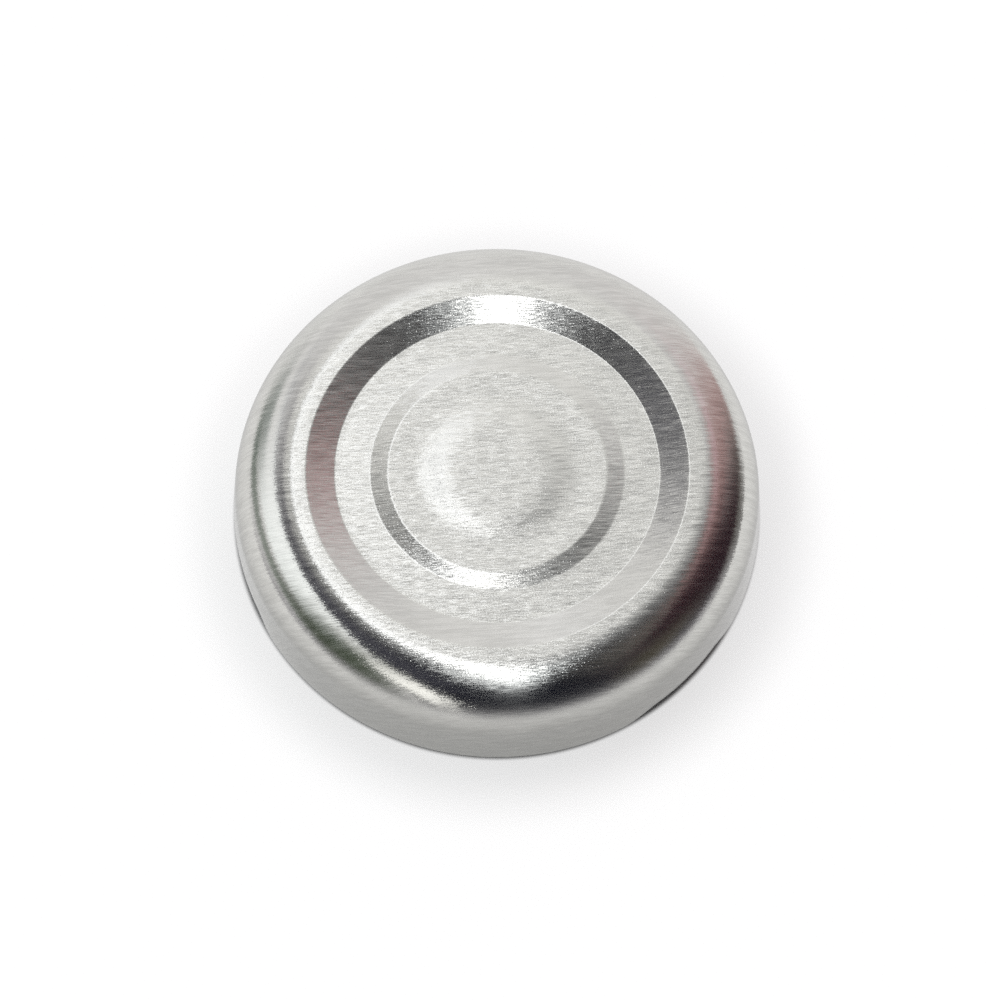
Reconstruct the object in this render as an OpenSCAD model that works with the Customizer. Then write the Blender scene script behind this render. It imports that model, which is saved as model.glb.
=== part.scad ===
// Twist-off bottle cap: one disc of brushed tinplate, drawn, ringed, rolled at its edge and
// pinched into locking lugs, with a sealing ring flowed into the channel under its land.
// Lengths are in millimetres. The rolled hem stands on z = 0, round the origin.

/* [Shell] */
// Outer diameter, over the rolled hem
outer_d = 46.5; // [45:0.5:48]
// Height, from the hem's underside to the top of the land
cap_h = 9.7; // [9:0.1:12]
// Thickness of the sheet
sheet_t = 0.2; // [0.16:0.01:0.24]
// Radius of the gentle bend with which the shoulder begins, on its outer side
crown_r = 6.2; // [5.6:0.1:6.8]
// Angle that the gentle bend turns through
crown_angle = 20; // [16:1:22]
// Radius of the rest of the shoulder, on its outer side
shoulder_r = 4.8; // [4.4:0.1:5]
// How far the skirt leans in between the hem and the shoulder
skirt_lean = 0.3; // [0.1:0.05:0.4]

/* [Pressed rings] */
// Radius at which the land meets the slope down to the panel
land_r = 16.6; // [16.2:0.1:16.9]
// Radius of the sunk panel, at the foot of that slope
panel_r = 14.1; // [13.5:0.1:14.6]
// Depth of the panel under the land
panel_depth = 0.55; // [0.5:0.05:0.8]
// Radius of the step on the panel, at its foot
step_foot_r = 11; // [10.8:0.1:11.6]
// Radius of the step on the panel, at its top
step_top_r = 9.5; // [9:0.1:9.8]
// Height of the step over the panel
step_h = 0.16; // [0.12:0.01:0.28]
// How far the step's flat falls towards its inner edge
step_dish = 0.03; // [0:0.01:0.05]
// Radius of the raised centre, at its foot
centre_foot_r = 6.5; // [6.2:0.1:6.9]
// Radius of the raised centre's flat top
centre_top_r = 4.5; // [4:0.1:4.9]
// Height of the raised centre over the step
centre_h = 0.1; // [0.06:0.01:0.15]

/* [Hem and lugs] */
// Radius of the rolled hem, on its outer side
hem_r = 0.68; // [0.6:0.01:0.75]
// Number of locking lugs
lug_count = 3; // [3:1:4]
// Direction of the first lug
first_lug_angle = -43; // [-60:1:60]
// Angle that one lug takes up, with the blends at both its ends
lug_angle = 36; // [30:1:44]
// How far a lug reaches in from the outside of the hem
lug_reach = 2.6; // [2.2:0.1:3]
// How far the hem is lifted off the ground at a lug
lug_lift = 0.7; // [0.3:0.05:0.9]
// How far the hem is pinched in from its round outline at a lug
lug_pinch = 0.2; // [0:0.05:0.3]
// Thickness of a lug, which is the flattened hem
lug_t = 0.8; // [0.7:0.05:1]

/* [Sealing ring] */
// Inner radius of the sealing ring
seal_in_r = 15.6; // [15:0.1:16]
// Outer radius of the sealing ring
seal_out_r = 20.2; // [19.8:0.1:20.4]
// Depth of the sealing ring under the land
seal_depth = 0.9; // [0.7:0.05:1.2]

/* [Hidden] */
$fn = 128;
outer_r = outer_d / 2;
half_t = sheet_t / 2;
panel_z = cap_h - panel_depth;
step_z = panel_z + step_h;
dish_z = step_z - step_dish;
centre_z = dish_z + centre_h;
ring_bend = 0.7;       // bend of the sheet at the land and the panel
step_bend = 2;         // bend of the sheet at the step
soft_share = 0.45;     // part of the raised centre's slope that each of its two long bends takes up
crown_steps = 5;       // flats round the gentle bend with which the shoulder begins
shoulder_steps = 14;   // flats round the rest of the shoulder
shoulder_run = 0.05;   // straight run between the shoulder's two bends
ring_steps = 3;        // flats round each of the small bends
hem_steps = 5;         // flats round each quarter of the hem
hem_flat = 0.06;       // straight run between the hem's bends
band_z = 2.3;          // height of the skirt at which the plain shell meets the lugs
blend_angle = 9;       // part of a lug's angle over which the hem blends into it, at each end
hem_end = 0.25;        // sheet past the last bend of the rolled hem
lug_end = 0.9;         // sheet past the last bend of a lug
lug_steps = 14;        // slices along one lug
lap_angle = 0.5;       // how far a lug's ends run on, on each side of where the plain hem ends
lap_z = 0.2;           // how far they run on into the skirt above
thinning = 0.02;       // how much the pinched sheet is thinner on each side than the plain sheet
centre_slope = [centre_foot_r - centre_top_r, centre_h];
centre_angle = atan2(centre_slope.y, centre_slope.x);
dish_angle = atan2(step_dish, step_top_r - centre_foot_r);
shaped_angle = lug_angle - 2 * lap_angle;
lug_pitch = 360 / lug_count;

function left(heading) = [-sin(heading), cos(heading)];
function heading(a, b) = atan2(b.y - a.y, b.x - a.x);
function mix(a, b, share) = a + (b - a) * share;
function smooth(share) = share * share * (3 - 2 * share);
function soft_bend(turn) = soft_share * norm(centre_slope) / tan(turn / 2);
function reversed(list) = [for (i = [len(list) - 1:-1:0]) list[i]];

// Points of a bent strip's side, where the strip runs a, b, c and bends round b with radius r.
// "off" is how far the side lies to the left of the strip's middle. No steps make a plain corner.
function bend(a, b, c, r, steps, off) =
    let (
        start = heading(a, b),
        turn = (heading(b, c) - start + 540) % 360 - 180,
        side = sign(turn),
        ahead = [cos(start), sin(start)],
        middle = b - ahead * r * tan(abs(turn) / 2) + side * r * left(start)
    )
    steps == 0
        ? [b + off / cos(turn / 2) * left(start + turn / 2)]
        : [for (i = [0:steps]) middle + (off - side * r) * left(start + turn * i / steps)];

// One side of a strip. A route is a list of [point, bend radius, steps of the bend].
function strip_side(route, off) =
    let (last = len(route) - 1)
    concat(
        [route[0][0] + off * left(heading(route[0][0], route[1][0]))],
        [for (i = [1:last - 1])
            each bend(route[i - 1][0], route[i][0], route[i + 1][0], route[i][1], route[i][2], off)],
        [route[last][0] + off * left(heading(route[last - 1][0], route[last][0]))]
    );

function strip(route, half) = concat(strip_side(route, half), reversed(strip_side(route, -half)));

// Radius of the skirt's middle at height z.
skirt_foot = [outer_r - half_t, hem_r];
skirt_head = [outer_r - half_t - skirt_lean, cap_h - shoulder_r];
function skirt_at(z) = mix(skirt_foot.x, skirt_head.x, (z - skirt_foot.y) / (skirt_head.y - skirt_foot.y));

// The shoulder's two bends, at the corners of the sheet's middle.
land_z = cap_h - half_t;
shoulder_turn = -heading(skirt_head, skirt_foot) - crown_angle;
corner_gap = (crown_r - half_t) * tan(crown_angle / 2)
    + (shoulder_r - half_t) * tan(shoulder_turn / 2) + shoulder_run;
shoulder_z = land_z - corner_gap * sin(crown_angle);
shoulder_x = skirt_at(shoulder_z);
crown_x = shoulder_x - corner_gap * cos(crown_angle);

// The drawn shell from its middle to the band, as radius and height of the sheet's middle.
top_route = [
    [[0, centre_z - half_t], 0, 0],
    [[centre_top_r, centre_z - half_t], soft_bend(centre_angle), ring_steps],
    [[centre_foot_r, dish_z - half_t], soft_bend(centre_angle + dish_angle), ring_steps],
    [[step_top_r, step_z - half_t], step_bend, ring_steps],
    [[step_foot_r, panel_z - half_t], step_bend, ring_steps],
    [[panel_r, panel_z - half_t], ring_bend, ring_steps],
    [[land_r, land_z], ring_bend, ring_steps],
    [[crown_x, land_z], crown_r - half_t, crown_steps],
    [[shoulder_x, shoulder_z], shoulder_r - half_t, shoulder_steps],
    [[skirt_at(band_z), band_z], 0, 0]
];

// The band under it: the rolled hem where lug is 0, and the hem flattened into a lug where it is 1.
// The lugs' own strips start higher and end sooner, so that their ends lie inside the plain sheet.
function band_route(lug, is_lug) =
    let (
        roll = mix(hem_r - half_t, (lug_t - sheet_t) / 2, lug),
        low = half_t + mix(0, lug_lift, lug),
        high = low + 2 * roll + hem_flat,
        out = outer_r - half_t - mix(0, lug_pinch, lug),
        in = mix(out - 2 * roll - hem_flat, outer_r - lug_reach + half_t, lug),
        end = in + roll + mix(hem_end, lug_end, lug)
    )
    [
        if (is_lug) for (z = [band_z + lap_z, band_z - lap_z]) [[skirt_at(z), z], 0, 0],
        if (!is_lug) [[skirt_at(band_z), band_z], 0, 0],
        [[out, low], roll, hem_steps],
        [[in, low], roll, hem_steps],
        [[in, high], roll, hem_steps],
        [[is_lug ? end - thinning : end, high], 0, 0]
    ];

// How much of a lug there is at an angle from the lug's middle.
function lug_share(angle) = smooth(min(1, max(0, (shaped_angle / 2 - abs(angle)) / blend_angle)));

function around(p, angle) = [p.x * cos(angle), p.x * sin(angle), p.y];

module lug() {
    angles = [
        -shaped_angle / 2 - 2 * lap_angle,
        for (i = [0:lug_steps]) shaped_angle * (i / lug_steps - 1 / 2),
        shaped_angle / 2 + 2 * lap_angle
    ];
    slices = [for (a = angles)
        [for (p = strip(band_route(lug_share(a), true), half_t - thinning)) around(p, a)]];
    n = len(slices[0]);
    last = len(slices) - 1;
    walls = [for (s = [0:last - 1], i = [0:n - 1])
        let (a = s * n + i, b = s * n + (i + 1) % n)
        each [[a, a + n, b], [b, a + n, b + n]]];
    ends = [for (i = [0:n / 2 - 2], e = [0, 1])
        let (a = [i, i + 1, n - 2 - i, n - 1 - i], o = e * last * n)
        each e == 0
            ? [[a[0], a[1], a[2]], [a[0], a[2], a[3]]]
            : [[o + a[0], o + a[2], o + a[1]], [o + a[0], o + a[3], o + a[2]]]];
    polyhedron([for (s = slices) each s], concat(walls, ends));
}

module cap_shell() {
    color([0.79, 0.79, 0.77]) {
        rotate_extrude() polygon(strip(top_route, half_t));
        for (i = [0:lug_count - 1])
            rotate([0, 0, first_lug_angle + lug_pitch * i]) {
                lug();
                rotate([0, 0, lug_angle / 2])
                    rotate_extrude(angle = lug_pitch - lug_angle)
                        polygon(strip(band_route(0, false), half_t));
            }
    }
}

module sealing_ring() {
    underside = strip_side(top_route, -half_t);
    color([0.9, 0.88, 0.83])
        rotate_extrude()
            intersection() {
                polygon(concat(underside, [[outer_r, 0], [0, 0]]));
                translate([seal_in_r, cap_h - sheet_t - seal_depth])
                    square([seal_out_r - seal_in_r, cap_h]);
            }
}

cap_shell();
sealing_ring();
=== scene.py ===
import math
import bpy
import numpy as np
from mathutils import Matrix, Vector


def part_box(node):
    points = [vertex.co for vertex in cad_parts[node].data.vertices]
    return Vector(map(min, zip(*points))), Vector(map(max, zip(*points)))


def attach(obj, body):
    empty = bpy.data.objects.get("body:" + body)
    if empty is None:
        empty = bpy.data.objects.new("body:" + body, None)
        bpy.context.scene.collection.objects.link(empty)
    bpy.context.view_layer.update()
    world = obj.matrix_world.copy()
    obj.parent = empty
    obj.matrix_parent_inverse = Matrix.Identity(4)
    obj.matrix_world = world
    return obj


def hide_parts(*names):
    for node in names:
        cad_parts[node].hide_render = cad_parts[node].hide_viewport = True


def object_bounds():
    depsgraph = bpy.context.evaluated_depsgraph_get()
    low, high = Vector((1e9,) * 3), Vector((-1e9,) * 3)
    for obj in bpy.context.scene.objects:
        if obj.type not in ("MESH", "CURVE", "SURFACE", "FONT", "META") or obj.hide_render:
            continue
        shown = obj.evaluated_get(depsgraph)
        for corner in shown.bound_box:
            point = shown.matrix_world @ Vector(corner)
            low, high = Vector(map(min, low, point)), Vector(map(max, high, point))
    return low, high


# A twist-off bottle cap of brushed tinplate: its shell and sealing ring, dressed over the CAD solids.
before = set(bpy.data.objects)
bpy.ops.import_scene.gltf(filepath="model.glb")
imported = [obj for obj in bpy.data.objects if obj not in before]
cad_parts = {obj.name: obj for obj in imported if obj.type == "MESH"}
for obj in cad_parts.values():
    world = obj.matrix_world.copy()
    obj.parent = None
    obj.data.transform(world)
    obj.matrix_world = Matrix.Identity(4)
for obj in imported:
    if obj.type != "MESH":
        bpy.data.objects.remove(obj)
cad_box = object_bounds()

# ---------------------------------------------------------------- sizes, in millimetres
MM = 0.001
low_corner, high_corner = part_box("cap_shell")
OUTER_R = max(high_corner.x, high_corner.y, -low_corner.x, -low_corner.y) / MM
CAP_H = high_corner.z / MM
SHEET_T = 0.2
# the shoulder's two bends, and the skirt's lean inwards
CROWN_R, CROWN_ANGLE = 6.2, math.radians(20)
SHOULDER_R, SHOULDER_RUN = 4.8, 0.05
SKIRT_LEAN = 0.3
# the pressed rings, from the land inwards
LAND_R, PANEL_R, PANEL_DEPTH = 16.6, 14.1, 0.55
STEP_FOOT_R, STEP_TOP_R, STEP_H, STEP_DISH = 11.0, 9.5, 0.16, 0.03
CENTRE_FOOT_R, CENTRE_TOP_R, CENTRE_H = 6.5, 4.5, 0.1
RING_BEND, STEP_BEND, SOFT_SHARE = 0.7, 2.0, 0.45
CENTRE_RUN = CENTRE_FOOT_R - CENTRE_TOP_R
CENTRE_ANGLE = math.atan2(CENTRE_H, CENTRE_RUN)
DISH_ANGLE = math.atan2(STEP_DISH, STEP_TOP_R - CENTRE_FOOT_R)
# the rolled hem, and how high the band reaches that it and the lugs are formed in
HEM_R, HEM_FLAT, HEM_END = 0.68, 0.06, 0.25
BAND_Z = 2.3
# the lugs: angles in degrees, how far one reaches in, rises and is pinched in, and its thickness
LUG_COUNT, FIRST_LUG_ANGLE, LUG_ANGLE, LUG_BLEND = 3, -43.0, 35.0, 9.0
LUG_REACH, LUG_LIFT, LUG_PINCH, LUG_T, LUG_END = 2.6, 0.7, 0.2, 0.8, 0.9

# ---------------------------------------------------------------- sheet-metal section


def heading(a, b):
    return math.atan2(b[1] - a[1], b[0] - a[0])


def left(angle):
    return np.array([-math.sin(angle), math.cos(angle)])


def bend(a, b, c, radius, steps, off):
    """Points of a strip's side where it bends round b; off is how far left of the middle line it lies."""
    start = heading(a, b)
    turn = (heading(b, c) - start + 3 * math.pi) % (2 * math.pi) - math.pi
    side = math.copysign(1, turn)
    if steps == 0:
        return [b + off / math.cos(turn / 2) * left(start + turn / 2)]
    ahead = np.array([math.cos(start), math.sin(start)])
    middle = b - ahead * radius * math.tan(abs(turn) / 2) + side * radius * left(start)
    return [middle + (off - side * radius) * left(start + turn * i / steps) for i in range(steps + 1)]


def strip_side(route, off, spacing):
    """One side of a strip along a route of (point, bend radius, steps), with its long runs cut up."""
    corners = [np.array(p, float) for p, _, _ in route]
    points = [corners[0] + off * left(heading(corners[0], corners[1]))]
    for i in range(1, len(route) - 1):
        points += bend(corners[i - 1], corners[i], corners[i + 1], route[i][1], route[i][2], off)
    points.append(corners[-1] + off * left(heading(corners[-2], corners[-1])))
    runs = spacing or [1] * (len(points) - 1)
    out = [points[0]]
    for a, b, cuts in zip(points, points[1:], runs):
        out += [a + (b - a) * k / cuts for k in range(1, cuts + 1)]
    return np.array(out)


def cuts_along(side, longest):
    """How many pieces each run of a side is cut into, so that none is longer than "longest"."""
    return [max(1, math.ceil(math.dist(a, b) / longest)) for a, b in zip(side, side[1:])]


def mix(a, b, share):
    return a + (b - a) * share


def smooth(share):
    share = min(1.0, max(0.0, share))
    return share * share * (3 - 2 * share)


HALF_T = SHEET_T / 2
SKIRT_FOOT = (OUTER_R - HALF_T, HEM_R)
SKIRT_HEAD = (OUTER_R - HALF_T - SKIRT_LEAN, CAP_H - SHOULDER_R)


def skirt_at(z):
    return mix(SKIRT_FOOT[0], SKIRT_HEAD[0], (z - SKIRT_FOOT[1]) / (SKIRT_HEAD[1] - SKIRT_FOOT[1]))


def soft_bend(turn):
    """The radius that takes up SOFT_SHARE of the centre's slope at each of its ends."""
    return SOFT_SHARE * math.hypot(CENTRE_RUN, CENTRE_H) / math.tan(turn / 2)


LAND_Z = CAP_H - HALF_T
SHOULDER_TURN = -heading(SKIRT_HEAD, SKIRT_FOOT) - CROWN_ANGLE
CORNER_GAP = (
    (CROWN_R - HALF_T) * math.tan(CROWN_ANGLE / 2)
    + (SHOULDER_R - HALF_T) * math.tan(SHOULDER_TURN / 2)
    + SHOULDER_RUN
)
SHOULDER_Z = LAND_Z - CORNER_GAP * math.sin(CROWN_ANGLE)
SHOULDER_X = skirt_at(SHOULDER_Z)
CROWN_X = SHOULDER_X - CORNER_GAP * math.cos(CROWN_ANGLE)


def route_at(lug, shoulder_steps, ring_steps, hem_steps):
    """The sheet's middle line from the axis to the hem's free edge, where there is this much lug."""
    panel_z = CAP_H - PANEL_DEPTH - HALF_T
    step_z = panel_z + STEP_H
    dish_z = step_z - STEP_DISH
    centre_z = dish_z + CENTRE_H
    roll = mix(HEM_R - HALF_T, (LUG_T - SHEET_T) / 2, lug)
    low = HALF_T + mix(0, LUG_LIFT, lug)
    high = low + 2 * roll + HEM_FLAT
    out = OUTER_R - HALF_T - mix(0, LUG_PINCH, lug)
    inner = mix(out - 2 * roll - HEM_FLAT, OUTER_R - LUG_REACH + HALF_T, lug)
    return [
        ((0, centre_z), 0, 0),
        ((CENTRE_TOP_R, centre_z), soft_bend(CENTRE_ANGLE), ring_steps),
        ((CENTRE_FOOT_R, dish_z), soft_bend(CENTRE_ANGLE + DISH_ANGLE), ring_steps),
        ((STEP_TOP_R, step_z), STEP_BEND, ring_steps),
        ((STEP_FOOT_R, panel_z), STEP_BEND, ring_steps),
        ((PANEL_R, panel_z), RING_BEND, ring_steps),
        ((LAND_R, LAND_Z), RING_BEND, ring_steps),
        ((CROWN_X, LAND_Z), CROWN_R - HALF_T, shoulder_steps // 3),
        ((SHOULDER_X, SHOULDER_Z), SHOULDER_R - HALF_T, shoulder_steps),
        ((skirt_at(BAND_Z), BAND_Z), 0, 0),
        ((out, low), roll, hem_steps),
        ((inner, low), roll, hem_steps),
        ((inner, high), roll, hem_steps),
        ((inner + roll + mix(HEM_END, LUG_END, lug), high), 0, 0),
    ]


def lug_share(angle):
    """How much of a lug there is in this direction, from 0 to 1."""
    pitch = 360 / LUG_COUNT
    away = abs((angle - FIRST_LUG_ANGLE + pitch / 2) % pitch - pitch / 2)
    return smooth((LUG_ANGLE / 2 - away) / LUG_BLEND)


def new_mesh(name, verts, faces, materials):
    mesh = bpy.data.meshes.new(name)
    mesh.from_pydata([tuple(v) for v in verts], [], faces)
    for m in materials:
        mesh.materials.append(m)
    mesh.polygons.foreach_set("use_smooth", [True] * len(mesh.polygons))
    obj = bpy.data.objects.new(name, mesh)
    bpy.context.scene.collection.objects.link(obj)
    return obj


# ---------------------------------------------------------------- node helpers


def add_node(tree, kind, **settings):
    node = tree.nodes.new(kind)
    for key, value in settings.items():
        setattr(node, key, value)
    return node


def put(tree, socket, value):
    """Links a socket to an input, or sets the input to a plain value."""
    if isinstance(value, bpy.types.NodeSocket):
        tree.links.new(value, socket)
    else:
        socket.default_value = value


def calc(tree, operation, *values):
    node = add_node(tree, "ShaderNodeMath", operation=operation)
    for socket, value in zip(node.inputs, values):
        put(tree, socket, value)
    return node.outputs[0]


def ramp(tree, value, low, high, to_low=0.0, to_high=1.0):
    """A smooth step from to_low at low to to_high at high."""
    node = add_node(tree, "ShaderNodeMapRange", interpolation_type="SMOOTHSTEP")
    ends = {"From Min": low, "From Max": high, "To Min": to_low, "To Max": to_high}
    put(tree, node.inputs["Value"], value)
    for name, end in ends.items():
        put(tree, node.inputs[name], end)
    return node.outputs[0]


def blend_colour(tree, share, a, b, mode="MIX"):
    node = add_node(tree, "ShaderNodeMix", data_type="RGBA", blend_type=mode)
    for socket, value in zip((node.inputs[0], node.inputs[6], node.inputs[7]), (share, a, b)):
        put(tree, socket, value)
    return node.outputs[2]


def add_up(tree, *terms):
    """The sum of (value, factor) pairs."""
    total = calc(tree, "MULTIPLY", *terms[0])
    for value, factor in terms[1:]:
        total = calc(tree, "MULTIPLY_ADD", value, factor, total)
    return total


def new_material(name, kind):
    """A material with one shader of this kind, wired to its output."""
    material = bpy.data.materials.new(name)
    material.use_nodes = True
    tree = material.node_tree
    tree.nodes.clear()
    shader = add_node(tree, kind)
    out = add_node(tree, "ShaderNodeOutputMaterial")
    tree.links.new(shader.outputs[0], out.inputs["Surface"])
    return material, tree, shader


# ---------------------------------------------------------------- brushed tinplate
# All of this is laid out on the sheet's flat blank, in metres, with U along the brushing.
BRUSH_ANGLE = math.radians(5.8)
METAL_COLOUR = (0.615, 0.612, 0.585, 1.0)
ROUGHNESS, ROUGHNESS_SPREAD = 0.19, 0.04
ANISOTROPIC, ACROSS_TANGENT = 1.0, 0.25
# Each kind of streak: its pitch across the brushing, its length along it, detail and seed.
FINE = (0.00008, 0.0016, 1.0, 3.1)
BROAD = (0.0004, 0.004, 3.0, 7.7)
TWIST = (0.00009, 0.0009, 0.0, 5.9)
GRAIN = (0.00009, 0.00012, 0.0, 11.3)
# how much each tips the normal, and how the fine and broad ones shade the metal
FINE_TILT, BROAD_TILT, TWIST_TILT, GRAIN_TILT = 0.14, 0.03, 0.065, 1.2
STREAK_REACH, STREAK_DARK, STREAK_LIGHT = 0.3, 0.89, 1.07
# Painted shade: the skirt's colour is darkened going down from the shoulder, a little more where the
# brushing runs round it than where it runs down it.
PAINTED_SHADE_BRUSHED_DOWN, PAINTED_SHADE_BRUSHED_ROUND = 0.66, 0.62
ALONG_WITHIN, ACROSS_BEYOND = 0.004, 0.020
PAINTED_SHADE_FROM, PAINTED_SHADE_BELOW = (CAP_H - 1.5) * MM, (CAP_H - 4) * MM


def streaks(tree, uv, pitch, length, detail, seed):
    """Noise drawn out along the brushing, centred on 0."""
    mapping = add_node(tree, "ShaderNodeMapping")
    put(tree, mapping.inputs["Vector"], uv)
    mapping.inputs["Location"].default_value = (seed, 2 * seed, 0)
    mapping.inputs["Scale"].default_value = (1 / length, 1 / pitch, 1)
    noise = add_node(tree, "ShaderNodeTexNoise", noise_dimensions="2D")
    put(tree, noise.inputs["Vector"], mapping.outputs[0])
    noise.inputs["Scale"].default_value = 1.0
    noise.inputs["Detail"].default_value = detail
    return calc(tree, "SUBTRACT", noise.outputs["Fac"], 0.5)


def cubed(tree, value):
    return calc(tree, "MULTIPLY", calc(tree, "MULTIPLY", value, value), value)


def parts_of(tree, vector):
    """The x, y and z of a vector socket."""
    split = add_node(tree, "ShaderNodeSeparateXYZ")
    put(tree, split.inputs[0], vector)
    return split.outputs


def brushed_normal(tree, uv, fine, broad):
    """Streaks tip the sheet across the brushing; a slight twist and a few sharp grains tip it along."""
    twist, grain = streaks(tree, uv, *TWIST), streaks(tree, uv, *GRAIN)
    across = add_up(tree, (fine, FINE_TILT), (broad, BROAD_TILT))
    along = add_up(tree, (twist, TWIST_TILT), (cubed(tree, grain), GRAIN_TILT))
    colour = add_node(tree, "ShaderNodeCombineColor")
    for socket, tilt in zip(colour.inputs, (along, across)):
        put(tree, socket, calc(tree, "MULTIPLY_ADD", tilt, 0.5, 0.5))
    colour.inputs[2].default_value = 1.0
    normal = add_node(tree, "ShaderNodeNormalMap", uv_map="blank")
    put(tree, normal.inputs["Color"], colour.outputs[0])
    return normal.outputs[0]


def sheet_shade(tree, uv, fine, broad):
    """How bright the metal is: by streak, and with painted shade darkening it down the skirt."""
    streak = ramp(
        tree, calc(tree, "ADD", fine, broad), -STREAK_REACH, STREAK_REACH, STREAK_DARK, STREAK_LIGHT
    )
    height = parts_of(tree, add_node(tree, "ShaderNodeTexCoord").outputs["Object"])[2]
    off_middle = calc(tree, "ABSOLUTE", parts_of(tree, uv)[1])
    # Painted shade: the colour goes darker down the skirt, most where the brushing runs round it.
    skirt = ramp(tree, off_middle, ALONG_WITHIN, ACROSS_BEYOND, PAINTED_SHADE_BRUSHED_DOWN, PAINTED_SHADE_BRUSHED_ROUND)
    drawn = ramp(tree, height, PAINTED_SHADE_FROM, PAINTED_SHADE_BELOW, 1.0, skirt)
    return calc(tree, "MULTIPLY", streak, drawn)


def brushed_metal():
    material, tree, shader = new_material("brushed_tinplate", "ShaderNodeBsdfPrincipled")
    uv = add_node(tree, "ShaderNodeUVMap", uv_map="blank").outputs[0]
    fine, broad = streaks(tree, uv, *FINE), streaks(tree, uv, *BROAD)
    shade = sheet_shade(tree, uv, fine, broad)
    put(tree, shader.inputs["Base Color"], blend_colour(tree, 1.0, METAL_COLOUR, shade, "MULTIPLY"))
    shader.inputs["Metallic"].default_value = 1.0
    roughness = calc(tree, "MULTIPLY_ADD", broad, ROUGHNESS_SPREAD, ROUGHNESS)
    put(tree, shader.inputs["Roughness"], roughness)
    shader.inputs["Anisotropic"].default_value = ANISOTROPIC
    shader.inputs["Anisotropic Rotation"].default_value = ACROSS_TANGENT
    tangent = add_node(tree, "ShaderNodeTangent", direction_type="UV_MAP", uv_map="blank")
    put(tree, shader.inputs["Tangent"], tangent.outputs[0])
    put(tree, shader.inputs["Normal"], brushed_normal(tree, uv, fine, broad))
    return material


# ---------------------------------------------------------------- lacquered inside
INSIDE_COLOUR = (0.60, 0.59, 0.54, 1.0)
INSIDE_GRAIN = (0.00015, 0.002, 2.0, 5.3)
INSIDE_REACH = 0.25
INSIDE_DARK, INSIDE_LIGHT = 0.94, 1.04
INSIDE_ROUGHNESS, INSIDE_SPREAD = 0.38, 0.12


def satin_inside():
    material, tree, shader = new_material("lacquered_inside", "ShaderNodeBsdfPrincipled")
    uv = add_node(tree, "ShaderNodeUVMap", uv_map="blank").outputs[0]
    grain = streaks(tree, uv, *INSIDE_GRAIN)
    shade = ramp(tree, grain, -INSIDE_REACH, INSIDE_REACH, INSIDE_DARK, INSIDE_LIGHT)
    put(tree, shader.inputs["Base Color"], blend_colour(tree, 1.0, INSIDE_COLOUR, shade, "MULTIPLY"))
    shader.inputs["Metallic"].default_value = 1.0
    roughness = calc(tree, "MULTIPLY_ADD", grain, INSIDE_SPREAD, INSIDE_ROUGHNESS)
    put(tree, shader.inputs["Roughness"], roughness)
    return material


# ---------------------------------------------------------------- sealing compound
COMPOUND_DARK, COMPOUND_LIGHT = (0.70, 0.66, 0.57, 1), (0.76, 0.73, 0.65, 1)
COMPOUND_ROUGHNESS, COMPOUND_SPREAD = 0.4, 0.2
COMPOUND_SCATTER = 0.1
CLOUDS_PER_METRE, CLOUD_DETAIL = 900.0, 3.0
CLOUD_BUMP, CLOUD_HEIGHT = 0.3, 0.00004


def sealing_compound():
    material, tree, shader = new_material("sealing_compound", "ShaderNodeBsdfPrincipled")
    place = add_node(tree, "ShaderNodeTexCoord").outputs["Object"]
    noise = add_node(tree, "ShaderNodeTexNoise")
    put(tree, noise.inputs["Vector"], place)
    noise.inputs["Scale"].default_value = CLOUDS_PER_METRE
    noise.inputs["Detail"].default_value = CLOUD_DETAIL
    cloud = noise.outputs["Fac"]
    put(tree, shader.inputs["Base Color"], blend_colour(tree, cloud, COMPOUND_DARK, COMPOUND_LIGHT))
    roughness = calc(tree, "MULTIPLY_ADD", cloud, COMPOUND_SPREAD, COMPOUND_ROUGHNESS)
    put(tree, shader.inputs["Roughness"], roughness)
    shader.inputs["Subsurface Weight"].default_value = COMPOUND_SCATTER
    bump = add_node(tree, "ShaderNodeBump")
    bump.inputs["Strength"].default_value = CLOUD_BUMP
    bump.inputs["Distance"].default_value = CLOUD_HEIGHT
    put(tree, bump.inputs["Height"], cloud)
    put(tree, shader.inputs["Normal"], bump.outputs[0])
    return material


# ---------------------------------------------------------------- shell
SLICES = 360
# steps round the shoulder, each ring's bends and the hem's, and the longest straight run
OUTER_STEPS, OUTER_RUN = (40, 6, 10), 0.7
INNER_STEPS, INNER_RUN = (20, 3, 8), 1.5
SHARP_ANGLE = math.radians(50)


def outer_side(lug, cuts=None):
    return strip_side(route_at(lug, *OUTER_STEPS), HALF_T, cuts)


def inner_side(lug, cuts=None):
    return strip_side(route_at(lug, *INNER_STEPS), -HALF_T, cuts)


def arc_lengths(side):
    steps = [0.0] + [math.dist(a, b) for a, b in zip(side, side[1:])]
    return np.cumsum(steps)


def shell_points():
    """Sections all round the cap, each point's place on the flat blank, and how many are outside."""
    outer_cuts = cuts_along(outer_side(0), OUTER_RUN)
    inner_cuts = cuts_along(inner_side(0), INNER_RUN)
    outer_s = arc_lengths(outer_side(0, outer_cuts))
    inner_s = arc_lengths(inner_side(0, inner_cuts))
    lengths = np.concatenate([outer_s[1:], inner_s[:0:-1]])
    rings, flat = [], []
    for k in range(SLICES):
        degrees = 360 * k / SLICES
        angle = math.radians(degrees)
        lug = lug_share(degrees)
        section = np.concatenate([outer_side(lug, outer_cuts)[1:], inner_side(lug, inner_cuts)[:0:-1]])
        c, s = math.cos(angle), math.sin(angle)
        rings.append(np.stack([section[:, 0] * c, section[:, 0] * s, section[:, 1]], 1))
        turned = angle - BRUSH_ANGLE
        flat.append(np.stack([lengths * math.cos(turned), lengths * math.sin(turned)], 1))
    return rings, flat, len(outer_s)


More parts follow.
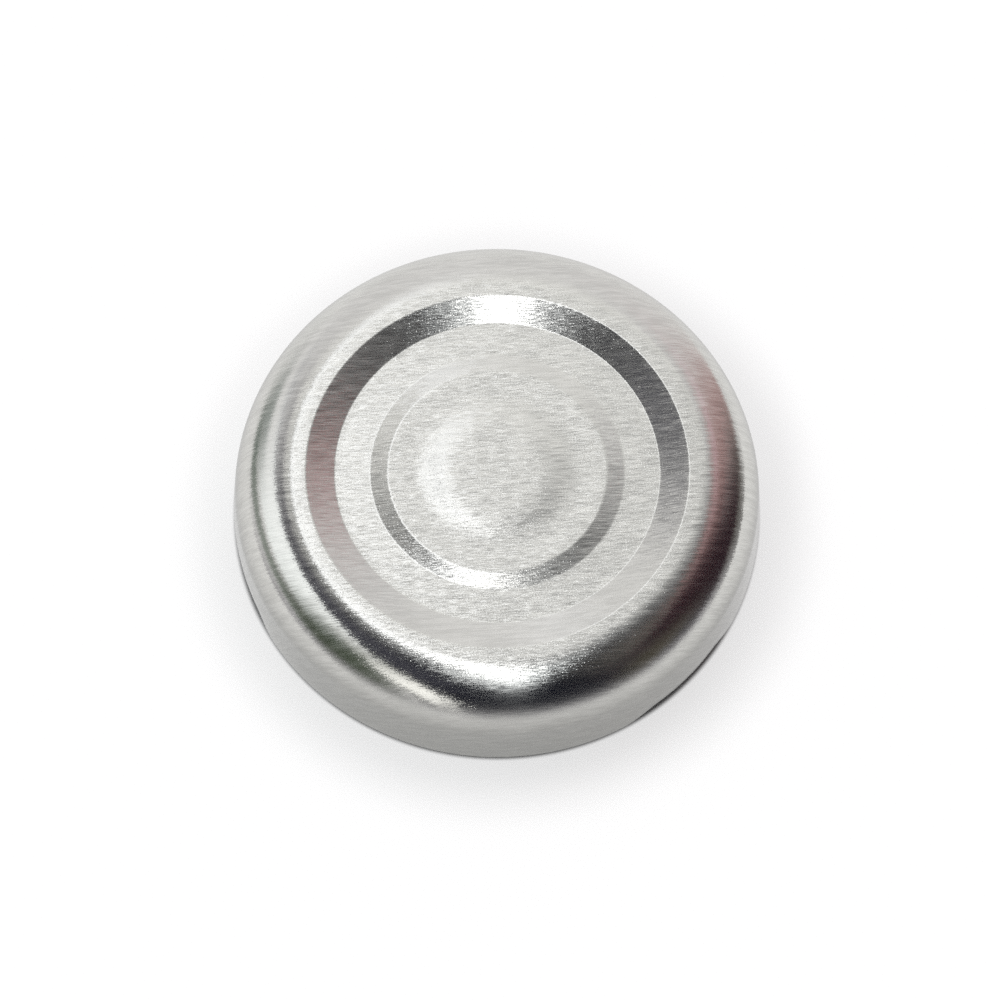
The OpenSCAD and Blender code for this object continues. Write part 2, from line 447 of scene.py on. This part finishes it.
def shell_faces(n, n_outside):
    """Quads between neighbouring sections of n points, and fans round the axis; slot 1 is the inside."""
    top, under = SLICES * n, SLICES * n + 1
    faces, slots = [], []
    for k in range(SLICES):
        a, b = k * n, (k + 1) % SLICES * n
        faces += [(top, a, b), (under, b + n - 1, a + n - 1)]
        slots += [0, 1]
        for j in range(n - 1):
            faces.append((a + j, a + j + 1, b + j + 1, b + j))
            slots.append(0 if j < n_outside - 1 else 1)
    return faces, slots


def make_shell():
    rings, flat, n_outside = shell_points()
    faces, slots = shell_faces(len(rings[0]), n_outside)
    on_axis = [[0, 0, outer_side(0)[0][1]], [0, 0, inner_side(0)[0][1]]]
    verts = np.concatenate(rings + [on_axis]) * MM
    blank = np.concatenate(flat + [[[0, 0], [0, 0]]]) * MM
    shell = new_mesh("shell_sheet", verts, faces, [brushed_metal(), satin_inside()])
    shell.data.polygons.foreach_set("material_index", slots)
    layer = shell.data.uv_layers.new(name="blank")
    corners = np.empty(len(shell.data.loops), np.int32)
    shell.data.loops.foreach_get("vertex_index", corners)
    layer.data.foreach_set("uv", blank[corners].astype(np.float32).ravel())
    shell.data.set_sharp_from_angle(angle=SHARP_ANGLE)
    return shell


# ---------------------------------------------------------------- sealing ring
SEAL_IN_R, SEAL_OUT_R, SEAL_DEPTH = 15.6, 20.15, 0.88
SEAL_EDGE, SEAL_SWELL = 0.3, 0.02
# points across it and bend steps of the sheet above it, and its least thickness and clearance
SEAL_STEPS, SEAL_BEND_STEPS = 41, (40, 6, 8)
SEAL_LEAST, SEAL_CLEAR = 0.02, 0.004
SEAL_SHARP_ANGLE = math.radians(60)
# waves of the flowed face: height, how many go round, and phase
RIPPLES = ((0.012, 5, 0.6), (0.008, 13, 2.1))


def seal_back(radii):
    """The height of the ring's back, which follows the shell's underside."""
    underside = strip_side(route_at(0, *SEAL_BEND_STEPS), -HALF_T, None)
    first_beyond = int(np.argmax(underside[:, 0] > SEAL_OUT_R + 1))
    underside = underside[:first_beyond]
    return np.interp(radii, underside[:, 0], underside[:, 1]) - SEAL_CLEAR


def make_sealing_ring():
    """Compound flowed into the channel: its free face has rounded edges and a slight ripple."""
    radii = np.linspace(SEAL_IN_R, SEAL_OUT_R, SEAL_STEPS)
    back = seal_back(radii)
    low = CAP_H - SHEET_T - SEAL_DEPTH
    edge = np.clip(np.minimum(radii - SEAL_IN_R, SEAL_OUT_R - radii) / SEAL_EDGE, 0, 1)
    rounding = SEAL_EDGE * (1 - np.sqrt(1 - (1 - edge) ** 2))
    verts = []
    for k in range(SLICES):
        a = 2 * math.pi * k / SLICES
        ripple = sum(height * math.sin(count * a + phase) for height, count, phase in RIPPLES)
        face = low + rounding + (SEAL_SWELL + ripple) * np.sin(math.pi * edge / 2)
        face = np.minimum(face, back - SEAL_LEAST)
        ring = np.concatenate([np.stack([radii, face], 1), np.stack([radii, back], 1)[::-1]])
        verts += [(r * math.cos(a), r * math.sin(a), z) for r, z in ring]
    n = len(verts) // SLICES
    faces = []
    for k in range(SLICES):
        a, b = k * n, (k + 1) % SLICES * n
        faces += [(a + j, b + j, b + (j + 1) % n, a + (j + 1) % n) for j in range(n)]
    ring = new_mesh("compound_ring", np.array(verts) * MM, faces, [sealing_compound()])
    ring.data.set_sharp_from_angle(angle=SEAL_SHARP_ANGLE)
    return ring


# ---------------------------------------------------------------- surroundings
# A pale studio, drawn as soft patches on a flat chart of the sky: a is degrees to the right of
# straight up and b degrees away from the viewer.
WALL = (1.0, 0.99, 1.0, 1)
# Low down on the viewer's side the wall is darker: how far from straight up, and where on b.
LOW_WALL = (0.34, 0.33, 0.36, 1)
LOW_FROM, LOW_TO = 74, 90
LOW_BEHIND, LOW_BEFORE = 30, -20
# Each patch: a, b, half width, half height, turn and softness, all in degrees, and its light.
# A later patch lies over the earlier ones.
PATCHES = [
    ("viewer", 25, -36, 54, 54, -5, 4, (0.003, 0.004, 0.012, 1)),
    ("viewer_right", 58, 3, 40, 28, 48, 13, (0.143, 0.134, 0.122, 1)),
    ("brown", 55, -40, 9, 14, 41, 14, (0.080, 0.070, 0.045, 1)),
    ("maroon", 52, 4, 24, 24, 15, 12, (0.018, 0.002, 0.010, 1)),
    ("rose", 43, 42, 32, 8, 46, 4, (0.59, 0.33, 0.32, 1)),
    ("column", -73, 4, 6.5, 48, 6, 8, (0.37, 0.40, 0.37, 1)),
    ("frame_low", -54, -39, 22, 28, -21, 19, (0.020, 0.041, 0.006, 1)),
    ("frame_high", -66, 45, 17, 11, -10, 14, (0.06, 0.11, 0.08, 1)),
    ("window", -43, 6, 17.5, 17.5, 4, 10, (1.56, 1.61, 1.63, 1)),
    ("strip", -25, -52, 6.8, 18.5, 20, 4, (1.82, 1.81, 1.76, 1)),
    ("mullion", -20, -5.5, 6.2, 33, 13, 3, (0.055, 0.055, 0.075, 1)),
    ("glow", -3, 28, 14.5, 5.4, 7, 4, (1.57, 1.57, 1.53, 1)),
    ("halo", 0, -7.3, 8.8, 3.5, 23, 4, (2.85, 2.93, 3.0, 1)),
    ("gap_high", -32, 33, 3, 14, 17, 7, (0.63, 0.63, 0.66, 1)),
    ("beam", -5, 20, 3, 13, 5, 3, (1.62, 1.65, 1.70, 1)),
    ("halo_low", 4.8, -15.5, 3.8, 11, -11, 6, (1.48, 1.55, 1.60, 1)),
    ("blush", 25, 30, 3, 3.5, 20, 4, (0.90, 0.50, 0.61, 1)),
    ("lamp_top", 0, 3.5, 3.2, 4.2, -5, 4, (3.1, 3.1, 3.15, 1)),
]
LAMP_DISTANCE = 5.0
LAMP_A, LAMP_B = math.radians(0.5), math.radians(-2.5)
LAMP_HALF_A, LAMP_HALF_B = math.radians(0.9), math.radians(10.0)
LAMP_TURN = math.radians(14.0)
LAMP_RADIANCE = 6.2


def make_lamp():
    """A slim strip lamp almost straight above, which gives the brushed sheet its sparkle."""
    data = bpy.data.lights.new("strip_lamp", "AREA")
    data.shape = "RECTANGLE"
    data.size = 2 * LAMP_DISTANCE * math.tan(LAMP_HALF_A)
    data.size_y = 2 * LAMP_DISTANCE * math.tan(LAMP_HALF_B)
    data.energy = LAMP_RADIANCE * math.pi * data.size * data.size_y
    lamp = bpy.data.objects.new("strip_lamp", data)
    bpy.context.scene.collection.objects.link(lamp)
    away = Vector((math.tan(LAMP_A), math.tan(LAMP_B), 1)).normalized()
    aim = away.to_track_quat("Z", "Y").to_matrix().to_4x4()
    turn = Matrix.Rotation(LAMP_TURN, 4, "Z")
    lamp.matrix_world = Matrix.Translation(away * LAMP_DISTANCE) @ aim @ turn
    lamp.visible_camera = False


def sky_chart(tree):
    """Where a ray goes: a and b on the chart, and its angle from straight up, all in degrees."""
    x, y, z = parts_of(tree, add_node(tree, "ShaderNodeTexCoord").outputs["Generated"])
    from_zenith = calc(tree, "DEGREES", calc(tree, "ARCCOSINE", z))
    across = calc(tree, "SQRT", calc(tree, "MULTIPLY_ADD", x, x, calc(tree, "MULTIPLY", y, y)))
    scale = calc(tree, "DIVIDE", from_zenith, calc(tree, "MAXIMUM", across, 1e-4))
    return calc(tree, "MULTIPLY", x, scale), calc(tree, "MULTIPLY", y, scale), from_zenith


def patch_share(tree, a, b, patch):
    """How much of a patch there is at (a, b): 1 inside, 0 outside, and a soft edge between."""
    a0, b0, half_a, half_b, turn, soft = patch
    c, s = math.cos(math.radians(turn)), math.sin(math.radians(turn))
    da, db = calc(tree, "SUBTRACT", a, a0), calc(tree, "SUBTRACT", b, b0)
    along = calc(tree, "ABSOLUTE", add_up(tree, (da, c), (db, s)))
    up = calc(tree, "ABSOLUTE", add_up(tree, (db, c), (da, -s)))
    inside_a = ramp(tree, along, half_a + soft / 2, half_a - soft / 2)
    inside_b = ramp(tree, up, half_b + soft / 2, half_b - soft / 2)
    return calc(tree, "MULTIPLY", inside_a, inside_b)


def make_world():
    """The chart's light for everything but the camera, which sees plain white."""
    world = bpy.data.worlds.new("studio")
    bpy.context.scene.world = world
    world.use_nodes = True
    tree = world.node_tree
    tree.nodes.clear()
    a, b, from_zenith = sky_chart(tree)
    light = WALL
    for _, *patch, colour in PATCHES:
        light = blend_colour(tree, patch_share(tree, a, b, patch), light, colour)
    low = ramp(tree, from_zenith, LOW_FROM, LOW_TO)
    low = calc(tree, "MULTIPLY", low, ramp(tree, b, LOW_BEHIND, LOW_BEFORE))
    light = blend_colour(tree, low, light, LOW_WALL)
    background = add_node(tree, "ShaderNodeBackground")
    seen = add_node(tree, "ShaderNodeLightPath").outputs["Is Camera Ray"]
    put(tree, background.inputs["Color"], blend_colour(tree, seen, light, (1, 1, 1, 1)))
    out = add_node(tree, "ShaderNodeOutputWorld")
    tree.links.new(background.outputs[0], out.inputs["Surface"])


# ---------------------------------------------------------------- floor
# A grey floor takes the cap's shadow. Light of its own lifts it to white for the eye and for the metal:
# none right under the cap, more beside it, and most beyond the radii (in metres) given here. This paints
# a contact shadow under the hem and a ring of painted shade round the cap.
FLOOR_HALF = 4.0
FLOOR_ALBEDO = 0.45
LIFT_UNDER, LIFT_NEAR, LIFT_FAR = 0.0, 0.65, 0.80
PAINTED_CONTACT_SHADOW = (0.0229, 0.0234)
PAINTED_SHADE_HALO = (0.0236, 0.031)


def make_floor():
    z = cad_box[0][2]
    signs = ((-1, -1), (1, -1), (1, 1), (-1, 1))
    corners = [(i * FLOOR_HALF, j * FLOOR_HALF, z) for i, j in signs]
    material, tree, both = new_material("pale_floor", "ShaderNodeAddShader")
    diffuse = add_node(tree, "ShaderNodeBsdfDiffuse")
    diffuse.inputs["Color"].default_value = (FLOOR_ALBEDO, FLOOR_ALBEDO, FLOOR_ALBEDO, 1)
    lift = add_node(tree, "ShaderNodeEmission")
    path = add_node(tree, "ShaderNodeLightPath")
    seen = calc(tree, "MAXIMUM", path.outputs["Is Camera Ray"], path.outputs["Is Glossy Ray"])
    seen = calc(tree, "MAXIMUM", seen, path.outputs["Is Transmission Ray"])
    length = add_node(tree, "ShaderNodeVectorMath", operation="LENGTH")
    put(tree, length.inputs[0], add_node(tree, "ShaderNodeTexCoord").outputs["Object"])
    reach = length.outputs["Value"]
    # Painted contact shadow: the lift fades to nothing under the hem.
    near = ramp(tree, reach, *PAINTED_CONTACT_SHADOW, LIFT_UNDER, LIFT_NEAR)
    # Painted shade: a halo round the cap where the lift is lower.
    far = ramp(tree, reach, *PAINTED_SHADE_HALO, 0, LIFT_FAR - LIFT_NEAR)
    amount = calc(tree, "ADD", near, far)
    put(tree, lift.inputs["Strength"], calc(tree, "MULTIPLY", seen, amount))
    tree.links.new(diffuse.outputs[0], both.inputs[0])
    tree.links.new(lift.outputs[0], both.inputs[1])
    return new_mesh("floor", corners, [(0, 1, 2, 3)], [material])


# ---------------------------------------------------------------- camera
CAMERA_ELEVATION = math.radians(67.35)
CAMERA_DISTANCE = 0.3977
CAMERA_ROLL = math.radians(1.11)
LENS, SENSOR_WIDTH = 162.0, 36.0
SHIFT = (-0.0016, 0.0117)
NEAR_CLIP, FAR_CLIP = 0.01, 50.0


def make_camera():
    data = bpy.data.cameras.new("camera")
    data.lens = LENS
    data.sensor_width = SENSOR_WIDTH
    data.shift_x, data.shift_y = SHIFT
    data.clip_start, data.clip_end = NEAR_CLIP, FAR_CLIP
    camera = bpy.data.objects.new("camera", data)
    bpy.context.scene.collection.objects.link(camera)
    away = Vector((0, -math.cos(CAMERA_ELEVATION), math.sin(CAMERA_ELEVATION)))
    aim = away.to_track_quat("Z", "Y").to_matrix().to_4x4()
    roll = Matrix.Rotation(CAMERA_ROLL, 4, "Z")
    camera.matrix_world = Matrix.Translation(away * CAMERA_DISTANCE) @ aim @ roll
    bpy.context.scene.camera = camera


# ---------------------------------------------------------------- the scene
make_camera()
make_world()
make_lamp()
# The denoiser would smear the brushing.
bpy.context.scene.cycles.use_denoising = False
bpy.context.scene.view_settings.view_transform = "Standard"

shell = make_shell()
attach(shell, "root")
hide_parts("cap_shell")

ring = make_sealing_ring()
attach(ring, "root")
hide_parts("sealing_ring")

make_floor()
